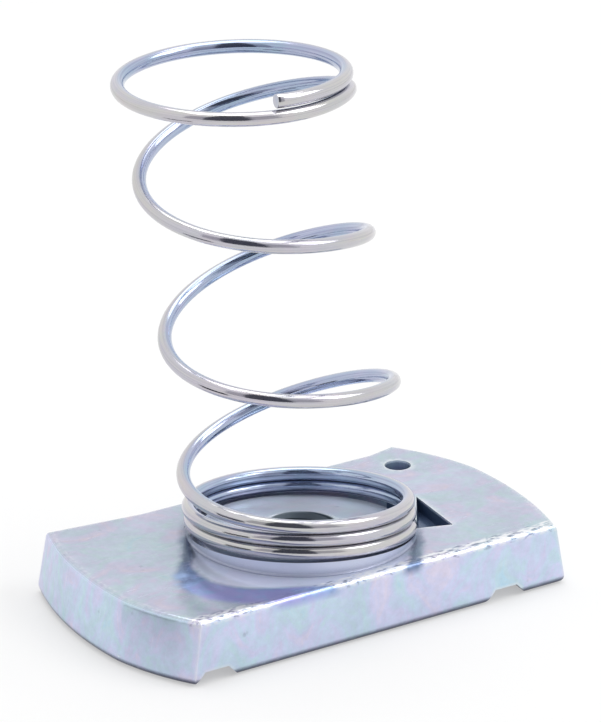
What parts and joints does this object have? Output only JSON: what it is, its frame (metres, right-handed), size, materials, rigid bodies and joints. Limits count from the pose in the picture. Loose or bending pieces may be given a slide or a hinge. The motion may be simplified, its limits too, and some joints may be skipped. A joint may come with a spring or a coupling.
{
  "type": "strut spring nut",
  "caption": "Plated steel channel nut with rounded swing corners and grooved underside, carrying a left-hand wire spring on a round boss over its threaded hole.",
  "frame": {"origin": "on the threaded hole's axis, at the nut's flat underside", "axes": "+X along the nut's length, +Y across it, +Z from the underside up through the spring"},
  "size_m": [0.0368, 0.0203, 0.0405],
  "materials": {
    "zinc_plate": "bright zinc plate, satin",
    "zinc_wire": "bright zinc plate, polished wire"
  },
  "bodies": {
    "root": {"channel_nut": "zinc_plate", "spring": "zinc_wire"}
  },
  "joints": []
}
